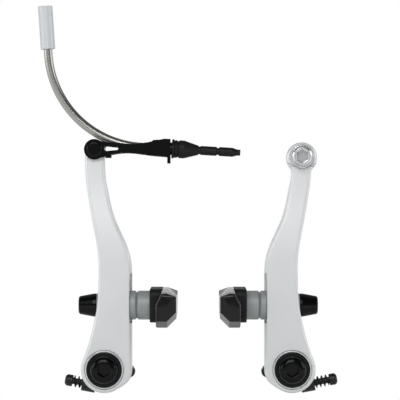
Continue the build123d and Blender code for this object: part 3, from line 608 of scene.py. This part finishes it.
class BRAKE_OT_shoe_hardware(bpy.types.Operator):
    """Turns the shoe washers and the tapered sleeve nuts"""
    bl_idname = "brake.shoe_hardware"
    bl_label = "Shoe hardware"

    def execute(self, context):
        sizes = context.scene.brake_sizes
        for side in SIDES:
            ball = np.array(joint_of(side + "_shoe_toe_in")["pos_m"])
            for place in ("inner", "outer"):
                self.washer(side, place, "convex", ball)
                self.washer(side, place, "concave", ball)
            self.nut(side, ball, sizes)
        return {"FINISHED"}

    def washer(self, side, place, kind, ball):
        """One face flat, the other an arc about the ball's centre: along = sqrt(ball^2 - radius^2)."""
        edge = 0.35
        node = "_".join((side, place, kind, "washer"))
        low, high = node_box(node)
        way = inboard(side) * (1 if place == "inner" else -1)
        ends = sorted(((low[0] - ball[0]) / MM * way, (high[0] - ball[0]) / MM * way))
        outer = (high[2] - low[2]) / 2 / MM
        bore = CONVEX_BORE[place] if kind == "convex" else STUD_BORE
        inset, slope = (0.75, 0.6) if place == "inner" else (0.35, 0.3)
        if kind == "convex":
            flat, sphere = ends[0], sqrt(ends[1] ** 2 + bore ** 2)
        else:
            flat, sphere = ends[1], sqrt(ends[0] ** 2 + (outer - edge) ** 2)
        far = np.linspace(bore, outer - inset, 9)
        dish = np.stack([np.sqrt(sphere ** 2 - far ** 2), far], -1)
        rim = dish[-1, 0]
        inward = np.sign(flat - rim)
        flat -= inward * SEAT_GAP
        back = rounded([(rim, outer - inset, 0), (rim + inward * slope, outer, 0.5), (flat, outer, edge),
                        (flat, bore, 0.1), (dish[0, 0], bore, 0)], False)
        profile = np.concatenate([dish[:-1], back[:-1]])
        body = turned(profile, ball, (way, 0, 0), closed=True, steps=128)
        add_piece("_".join((side, place, kind, "ring")), body, "satin_grey_plate",
                  side + ("_shoe_clamp" if kind == "convex" else "_shoe_cup"), node)

    def nut(self, side, ball, sizes):
        """Flange, then a straight taper to the socket's end."""
        low, high = node_box(side + "_shoe_nut")
        way = -inboard(side)
        start, end = sorted(((low[0] - ball[0]) / MM * way, (high[0] - ball[0]) / MM * way))
        outer = (high[2] - low[2]) / 2 / MM
        socket, floor = sizes.socket / MM / 2, end - NUT_SOCKET_DEPTH
        outline = rounded([(floor, STUD_BORE, 0), (start, STUD_BORE, 0.2), (start, outer, 0.3),
                           (start + NUT_FLANGE, outer, 6.0), (end - 0.5, NUT_TIP + 0.02, 0.4),
                           (end, NUT_TIP - 0.5, 0.3), (end, socket + 0.3, 0)], False)
        wall = np.array([(end, socket + 0.15), (end - 0.12, socket), (end - 2.0, socket),
                         (floor + 0.1, socket), (floor, socket - 0.1)])
        profile = np.concatenate([outline, wall])
        hexed = np.arange(len(profile)) >= len(outline)
        add_piece(side + "_tapered_nut", turned(profile, ball, (way, 0, 0), closed=True, hexed=hexed),
                  "black_plated_steel", side + "_shoe_cup", side + "_shoe_nut")


class BRAKE_OT_pads(bpy.types.Operator):
    """Moulds the brake pads with their cut corners, bevelled ends and water grooves"""
    bl_idname = "brake.pads"
    bl_label = "Brake pads"

    def execute(self, context):
        sizes = context.scene.brake_sizes
        for side in SIDES:
            stud = np.array(joint_of(side + "_shoe_turn")["pos_m"]) / MM
            low, high = node_box(side + "_brake_pad")
            back, front = (low[0] / MM, high[0] / MM)[::int(inboard(side))]
            add_piece(side + "_moulded_pad", self.rubber(side, stud, back, front, sizes),
                      "glossy_moulded_rubber", side + "_shoe", side + "_brake_pad", 35)
            add_piece(side + "_pad_base", self.base(side, stud, back),
                      "moulded_black_rubber", side + "_shoe", side + "_brake_pad", 35)
        return {"FINISHED"}

    def places(self, half, width, bevel_length):
        """Where along Y the rubber has a section: by each groove's edges, by the ends, and between."""
        edges = [GROOVE_PLACES + step for step in (-width - 0.25, -width, width, width + 0.25)]
        inner = half - np.array([0.0, 0.12, 0.35, 0.7, 1.2])
        bevels = [half - bevel_length, bevel_length - half]
        between = np.linspace(-half + 2, half - 2, 61)
        return np.unique(np.concatenate([*edges, inner, -inner, between, bevels]))

    def rubber(self, side, stud, back, front, sizes):
        """Section ring at each place along Y, lowered by y^2 / 2R, cut by the grooves and the end bevels.

        Lower and upper are the section's sides as heights over X: flat, then sloping down or up to the
        braking face over the cut corners' width. The bevels lift the lower one, and the upper one slopes
        less at the ends.
        """
        slope, flatter = 0.95, 0.6
        start, depth = abs(back - stud[0]) + PAD_BASE_THICKNESS, abs(front - stud[0])
        cut = depth - PAD_CORNER
        ring = rounded([(start, PAD_BOTTOM, 0.7), (cut, PAD_BOTTOM, 0.8), (depth, PAD_BOTTOM, 0.3),
                        (depth, PAD_TOP, 0.3), (cut, PAD_TOP, 0.8), (start + PAD_SHOULDER_IN, PAD_TOP, 0.8),
                        (start, PAD_TOP - PAD_SHOULDER, 0.8)], True)
        half, width = sizes.pad / MM / 2, sizes.groove / MM / 2
        bevel_length = sizes.pad_bevel_length / MM
        place = self.places(half, width, bevel_length)
        from_end = np.clip(PAD_END_ROUND - (half - np.abs(place)), 0, PAD_END_ROUND)
        shrink = PAD_END_ROUND - np.sqrt(np.clip(PAD_END_ROUND ** 2 - from_end ** 2, 0, None))
        inward = np.array([(start + depth) / 2, (PAD_TOP + PAD_BOTTOM) / 2]) - ring
        inward /= np.linalg.norm(inward, axis=1)[:, None]
        section = ring + shrink[:, None, None] * inward
        drop, droop = place[:, None] ** 2 / (2 * RIM_RADIUS), half ** 2 / (2 * RIM_RADIUS)
        past = ((np.abs(place) - half) / bevel_length + 1)[:, None]
        corner = np.clip(section[..., 0] - cut, 0, None)
        lower = np.maximum(PAD_BOTTOM - droop + sizes.pad_bevel / MM * past, PAD_BOTTOM - drop) + corner
        upper = PAD_TOP - drop - corner * (slope - flatter * np.clip(past * 2, 0, 1))
        height = np.clip(section[..., 1] - drop, lower, upper)
        deep = np.abs(place[:, None] - GROOVE_PLACES).min(1) <= width + 0.01
        out = np.minimum(section[..., 0], np.where(deep, depth - GROOVE_DEPTH, depth)[:, None])
        grid = np.stack([stud[0] + inboard(side) * out, stud[1] + place[:, None] + 0 * out,
                         stud[2] + height], -1)
        return shell(grid * MM, False)

    def base(self, side, stud, back):
        """Rounded rectangle in Y and Z carried along X, its rims rounded over."""
        ring = rounded([(-BASE_HALF_LENGTH, -BASE_HALF_HEIGHT, BASE_CORNER),
                        (BASE_HALF_LENGTH, -BASE_HALF_HEIGHT, BASE_CORNER),
                        (BASE_HALF_LENGTH, BASE_HALF_HEIGHT, BASE_CORNER),
                        (-BASE_HALF_LENGTH, BASE_HALF_HEIGHT, BASE_CORNER)], True)
        outward_way = ring / np.linalg.norm(ring, axis=1)[:, None]
        rim = np.array([0, 0.05, 0.2, 0.5])
        along = np.concatenate([rim, [1.0, 2.0], (BASE_REACH - rim)[::-1]])
        from_edge = np.clip(BASE_ROUND - np.minimum(along, BASE_REACH - along), 0, BASE_ROUND)
        shrink = BASE_ROUND - np.sqrt(np.clip(BASE_ROUND ** 2 - from_edge ** 2, 0, None))
        section = ring - shrink[:, None, None] * outward_way
        across = back + inboard(side) * (along[:, None] + SEAT_GAP) + 0 * section[..., 0]
        grid = np.stack([across, stud[1] + section[..., 0], stud[2] + BASE_RISE + section[..., 1]], -1)
        return shell(grid * MM, False)


class BRAKE_OT_springs(bpy.types.Operator):
    """Sweeps the return springs' wires along fixed curves from their feet to their tops"""
    bl_idname = "brake.springs"
    bl_label = "Return springs"

    def execute(self, context):
        sizes = context.scene.brake_sizes
        for side in SIDES:
            self.spring(side, sizes)
        return {"FINISHED"}

    def spring(self, side, sizes):
        """Wire along a quadratic curve: upright at the foot, leaning out to the top past the knee."""
        low, high = node_box(side + "_return_spring")
        radius = sizes.wire / 2
        top_x, foot_x = (low[0] + radius, high[0] - radius)[::int(inboard(side))]
        depth = (low[1] + high[1]) / 2
        foot, knee, top = low[2], low[2] + SPRING_KNEE * MM, high[2] - 0.03 * MM
        t = np.linspace(0, 1, 40)[:, None]
        start = np.array([foot_x, depth, foot])
        bend = np.array([foot_x, depth, knee])
        end = np.array([top_x, depth, top])
        path = (1 - t) ** 2 * start + 2 * t * (1 - t) * bend + t ** 2 * end
        grid = along_path(path, np.full(len(path), radius), 24)
        piece = to_object(side + "_spring_wire", shell(grid, False), bpy.data.materials["bright_zinc_plate"])
        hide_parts(side + "_return_spring")
        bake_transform(piece)


class BRAKE_OT_noodle(bpy.types.Operator):
    """Sweeps the bent tube, turns its sleeve, the link's rivet and the ribbed boot"""
    bl_idname = "brake.noodle"
    bl_label = "Guide tube and boot"

    def execute(self, context):
        sizes = context.scene.brake_sizes
        self.tube(sizes)
        self.sleeve(sizes)
        self.boot()
        self.rivet()
        return {"FINISHED"}

    def route(self, sizes):
        """Bend from the tip's joint: centre square to the tip, straight runs tangent to its ends."""
        joint = joint_of("noodle_turn")
        end = np.array(joint["pos_m"])
        tip = np.array(joint["axis"])
        up = np.array([-tip[2], 0.0, tip[0]])
        centre = end + up * sizes.bend
        rise = np.array(mount_of("housing_socket")["axis"])
        start_out = np.array([-rise[2], 0.0, rise[0]])
        return centre, start_out, rise, up, tip

    def tube(self, sizes):
        """Outer wall up the path and bore back down it, closed at both rims."""
        centre, start_out, rise, up, tip = self.route(sizes)
        sweep = np.arccos(np.clip(start_out @ -up, -1, 1))
        t = np.linspace(0, 1, 140)[:, None]
        outwards = (np.sin((1 - t) * sweep) * start_out - np.sin(t * sweep) * up) / sin(sweep)
        bend = centre + sizes.bend * outwards
        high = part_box("noodle_tube")[1]
        entry = (high[2] - bend[0, 2]) / rise[2] - 0.2 * MM
        run = np.linspace(1, 0, 12, endpoint=False)[:, None]
        before = bend[0] + rise * entry * run
        tip_length = (high[0] - bend[-1, 0]) / tip[0] - 0.1 * MM
        after = bend[-1] + tip * tip_length * np.linspace(0, 1, 24)[1:, None]
        path = np.concatenate([before, bend, after])
        out_grid = along_path(path, np.full(len(path), sizes.tube / 2))
        in_grid = along_path(path[::-1], np.full(len(path), sizes.tube_bore / 2))[:, ::-1]
        grid = np.concatenate([out_grid, np.roll(in_grid, 1, axis=1)])
        piece = add_piece("bent_tube", shell(grid, True), "drawn_stainless_tube", "noodle",
                          "noodle_tube")
        self.uv(piece, *grid.shape[:2])

    def uv(self, piece, rows, columns):
        """U goes round half the tube and back, and V along its outer and inner walls, each from 0 to 1."""
        mesh = piece.data
        layer = mesh.uv_layers.new(name="UVMap")
        corner = np.empty(len(mesh.loops), dtype=np.int32)
        mesh.loops.foreach_get("vertex_index", corner)
        around = (corner % columns) / columns
        onward = (corner // columns) / rows
        mirrored = np.abs(2 * around - 1)
        layer.data.foreach_set("uv", np.stack([mirrored, onward], -1).astype(np.float32).ravel())

    def sleeve(self, sizes):
        """Round sleeve along the mouth's axis with softly broken rims."""
        mouth = mount_of("housing_socket")
        depth, bore = mouth["dims"]["length_mm"], mouth["dims"]["r_mm"]
        top, floor, bottom = depth / 2, -depth / 2, depth / 2 - SLEEVE_LENGTH
        tube = sizes.tube / MM / 2 + 0.05
        profile = rounded([(top, bore, 0.15), (top, SLEEVE_RADIUS, 0.3), (bottom, SLEEVE_RADIUS, 0.35),
                           (bottom, tube, 0.15), (floor, tube, 0.1), (floor, bore, 0.05)], True)
        add_piece("housing_sleeve", turned(profile, mouth["pos_m"], mouth["axis"], closed=True),
                  "satin_anodised_aluminium", "noodle", "noodle_ferrule")

    def boot(self):
        """Two ridges, a bellows cone and two thin lengths, every corner rounded."""
        joint = joint_of("noodle_turn")
        tip, end = np.array(joint["axis"]), np.array(joint["pos_m"])
        far = (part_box("cable_boot")[1][0] - end[0]) / tip[0] - 0.1 * MM
        neck_end, cone_end, waist_end = 3.15, 11.3, 19.1
        neck, groove, ridge, cone, thin, lips = 4.1, 3.45, 3.8, 3.85, 1.95, 1.3
        outside = [(0, BOOT_NECK_BORE, 0.05), (0, neck, 0.35), (1.0, neck, 0.3), (1.25, groove, 0.15),
                   (1.45, ridge, 0.25), (2.15, ridge, 0.3), (2.45, groove, 0.15), (2.85, groove, 0.15),
                   (neck_end, cone, 0.3), (5.3, cone, 0.8), (cone_end, 2.05, 0.5), (11.6, 1.7, 0.15),
                   (12.2, 1.7, 0.15), (12.5, thin, 0.15), (waist_end, thin, 0.2), (19.4, 1.5, 0.15),
                   (20.15, 1.5, 0.15), (20.45, thin, 0.2), (26.0, thin, 0.6), (28.1, lips, 0.6),
                   (BOOT_LENGTH, lips, 0.12), (BOOT_LENGTH, CABLE_BORE, 0.05)]
        inside = [(10.0, CABLE_BORE, 0.1), (9.0, BOOT_TUBE_BORE, 0.1), (3.1, BOOT_TUBE_BORE, 0),
                  (3.1, BOOT_NECK_BORE, 0)]
        origin = end + tip * (far - BOOT_LENGTH * MM)
        add_piece("ribbed_boot", turned(rounded(outside + inside, True), origin, tip, closed=True, steps=72),
                  "moulded_black_rubber", "noodle", "cable_boot")

    def rivet(self):
        """Straight shank between two low domed heads."""
        middle, front, back, head = round_along_y("link_pin")
        edge, crown = RIVET_HEAD - 0.25, head - 0.5
        profile = rounded([(front, 0.02, 0), (front, crown, 1.2), (front + edge, head, 0.25),
                           (front + RIVET_HEAD, head, 0), (front + RIVET_HEAD, RIVET_SHANK, 0),
                           (back - RIVET_HEAD, RIVET_SHANK, 0), (back - RIVET_HEAD, head, 0),
                           (back - edge, head, 0.25), (back, crown, 1.2), (back, 0.02, 0)], False)
        add_piece("link_rivet", turned_along_y(profile, middle), "black_plated_steel",
                  "link", "link_pin")


class BRAKE_OT_anchor(bpy.types.Operator):
    """Turns the cable anchor bolt and its washer"""
    bl_idname = "brake.anchor"
    bl_label = "Cable anchor"

    def execute(self, context):
        middle, front, back, outer = round_along_y("cable_anchor_washer")
        profile = rounded([(front, ANCHOR_RING_BORE, 0.1), (front, outer, 0.35), (back, outer, 0.15),
                           (back, ANCHOR_RING_BORE, 0.1)], True)
        add_piece("anchor_ring", turned_along_y(profile, middle, closed=True), "bright_zinc_plate",
                  "right_arm_swing_body", "cable_anchor_washer")
        self.bolt(context.scene.brake_sizes, front)
        return {"FINISHED"}

    def bolt(self, sizes, under):
        """Cylindrical head, its shoulder an arc, with a hexagon socket."""
        middle, front, back, head = round_along_y("cable_anchor_bolt")
        socket, chamfer, shoulder = sizes.socket / MM / 2, 0.5, 0.7
        outline = rounded([(back, 0.02, 0), (back, BOLT_RADIUS - chamfer, 0),
                           (back - chamfer, BOLT_RADIUS, 0.1), (under, BOLT_RADIUS, 0.1), (under, head, 0.2),
                           (front + 0.6, head, 0.4), (front, head - shoulder, 0.4),
                           (front, socket * 1.2, 0)], False)
        profile, hexed = socket_head(outline, socket, front, ANCHOR_SOCKET_DEPTH)
        add_piece("anchor_socket_bolt", turned_along_y(profile, middle, hexed=hexed), "bright_zinc_plate",
                  "right_arm_swing_body", "cable_anchor_bolt")


class BRAKE_OT_stage(bpy.types.Operator):
    """Sets the pale floor, the soft studio light and the camera"""
    bl_idname = "brake.stage"
    bl_label = "Stage"

    def execute(self, context):
        settings = context.scene.brake_stage
        self.floor()
        self.world(settings)
        self.lamps(settings)
        self.camera(context, settings)
        context.scene.view_settings.view_transform = "Standard"
        return {"FINISHED"}

    def floor(self):
        """White floor under the brake; it turns into plain white light away from the shadow."""
        mesh = bpy.data.meshes.new("floor")
        square = FLOOR_HALF * np.array([(-1, -1), (1, -1), (1, 1), (-1, 1)])
        mesh.from_pydata([(x, y, FLOOR_LEVEL) for x, y in square.tolist()], [], [(0, 1, 2, 3)])
        floor = bpy.data.objects.new("floor", mesh)
        bpy.context.scene.collection.objects.link(floor)
        finish, tree, shader = new_finish("matt_white_floor", "#F4F4F4", 0.0, 0.9)
        place = add_node(tree, "ShaderNodeTexCoord").outputs["Object"]
        away = add_node(tree, "ShaderNodeVectorMath", links={"Vector": place}, operation="LENGTH")
        far = add_node(tree, "ShaderNodeMapRange", {"From Min": SHADOW_REACH[0], "From Max": SHADOW_REACH[1]},
                       {"Value": away.outputs["Value"]})
        rays = add_node(tree, "ShaderNodeLightPath").outputs
        seen = add_node(tree, "ShaderNodeMath", links={0: rays["Is Camera Ray"], 1: rays["Is Glossy Ray"]},
                        operation="MAXIMUM")
        amount = add_node(tree, "ShaderNodeMath", links={0: far.outputs["Result"], 1: seen.outputs["Value"]},
                          operation="MULTIPLY")
        glow = add_node(tree, "ShaderNodeEmission", {"Color": (1, 1, 1, 1), "Strength": 1.0})
        mix = add_node(tree, "ShaderNodeMixShader",
                       links={0: amount.outputs["Value"], 1: shader.outputs["BSDF"],
                              2: glow.outputs["Emission"]})
        output = next(n for n in tree.nodes if n.type == "OUTPUT_MATERIAL")
        tree.links.new(mix.outputs["Shader"], output.inputs["Surface"])
        mesh.materials.append(finish)

    def world(self, settings):
        """White to the camera and even as light; gloss sees it dim above and on the camera's side."""
        world = bpy.data.worlds.new("studio")
        bpy.context.scene.world = world
        world.use_nodes = True
        tree = world.node_tree
        tree.nodes.clear()
        way = add_node(tree, "ShaderNodeSeparateXYZ",
                       links={"Vector": add_node(tree, "ShaderNodeTexCoord").outputs["Generated"]})
        low = add_node(tree, "ShaderNodeMapRange",
                       {"From Min": 0.10, "From Max": 0.40, "To Min": 1.0, "To Max": 0.26},
                       {"Value": way.outputs["Z"]})
        behind = add_node(tree, "ShaderNodeMapRange",
                          {"From Min": -0.2, "From Max": 0.3, "To Min": 0.22, "To Max": 1.0},
                          {"Value": way.outputs["Y"]})
        room = add_node(tree, "ShaderNodeMath", links={0: low.outputs["Result"], 1: behind.outputs["Result"]},
                        operation="MULTIPLY")
        rays = add_node(tree, "ShaderNodeLightPath").outputs
        gloss = add_node(tree, "ShaderNodeMix", {"A": settings.fill},
                         {"Factor": rays["Is Glossy Ray"], "B": room.outputs["Value"]}, data_type="FLOAT")
        seen = add_node(tree, "ShaderNodeMath",
                        links={0: rays["Is Camera Ray"], 1: rays["Is Transmission Ray"]},
                        operation="MAXIMUM")
        strength = add_node(tree, "ShaderNodeMix", {"B": 1.0},
                            {"Factor": seen.outputs["Value"], "A": gloss.outputs["Result"]},
                            data_type="FLOAT")
        back = add_node(tree, "ShaderNodeBackground", {"Color": (1, 1, 1, 1)},
                        {"Strength": strength.outputs["Result"]})
        add_node(tree, "ShaderNodeOutputWorld", links={"Surface": back.outputs["Background"]})

    def lamps(self, settings):
        """Softboxes: a large one above the camera, one each side for the edges."""
        for name, place, size, share in LAMPS:
            data = bpy.data.lights.new(name, "AREA")
            data.shape, data.size, data.energy = "SQUARE", size, settings.key * share
            lamp = bpy.data.objects.new(name, data)
            lamp.location = place
            lamp.rotation_euler = (Vector(LAMP_AIM) - Vector(place)).to_track_quat("-Z", "Y").to_euler()
            bpy.context.scene.collection.objects.link(lamp)

    def camera(self, context, settings):
        """Level camera looking along +Y; its lens shows the view height at the brake's front plane."""
        data = bpy.data.cameras.new("camera")
        data.sensor_width = SENSOR
        data.lens = SENSOR * settings.distance / settings.view_height
        camera = bpy.data.objects.new("camera", data)
        camera.location = (PICTURE_MIDDLE[0], FRONT_PLANE - settings.distance, PICTURE_MIDDLE[1])
        camera.rotation_euler = (pi / 2, 0, 0)
        context.scene.collection.objects.link(camera)
        context.scene.camera = camera


class BRAKE_PT_panel(bpy.types.Panel):
    """Lists the settings and the steps"""
    bl_idname = "BRAKE_PT_panel"
    bl_label = "Brake"
    bl_space_type = "VIEW_3D"
    bl_region_type = "UI"
    bl_category = "Brake"

    def draw(self, context):
        for group in (context.scene.brake_sizes, context.scene.brake_colours, context.scene.brake_stage):
            for key in group.__annotations__:
                self.layout.prop(group, key)
        for operator in OPERATORS:
            self.layout.operator(operator.bl_idname)


OPERATORS = (BRAKE_OT_finishes, BRAKE_OT_pivot_hardware, BRAKE_OT_adjusters, BRAKE_OT_shoe_hardware,
             BRAKE_OT_pads, BRAKE_OT_springs, BRAKE_OT_noodle, BRAKE_OT_anchor, BRAKE_OT_stage)
GROUPS = (BrakeColours, BrakeSizes, StageSettings)


def register():
    for item in GROUPS + OPERATORS + (BRAKE_PT_panel,):
        bpy.utils.register_class(item)
    bpy.types.Scene.brake_colours = PointerProperty(type=BrakeColours)
    bpy.types.Scene.brake_sizes = PointerProperty(type=BrakeSizes)
    bpy.types.Scene.brake_stage = PointerProperty(type=StageSettings)


def unregister():
    for name in ("brake_colours", "brake_sizes", "brake_stage"):
        delattr(bpy.types.Scene, name)
    for item in reversed(GROUPS + OPERATORS + (BRAKE_PT_panel,)):
        bpy.utils.unregister_class(item)


def main():
    register()
    bpy.ops.brake.finishes()
    bpy.ops.brake.pivot_hardware()
    bpy.ops.brake.adjusters()
    bpy.ops.brake.shoe_hardware()
    bpy.ops.brake.pads()
    bpy.ops.brake.springs()
    bpy.ops.brake.noodle()
    bpy.ops.brake.anchor()
    bpy.ops.brake.stage()


if __name__ == "__main__":
    main()
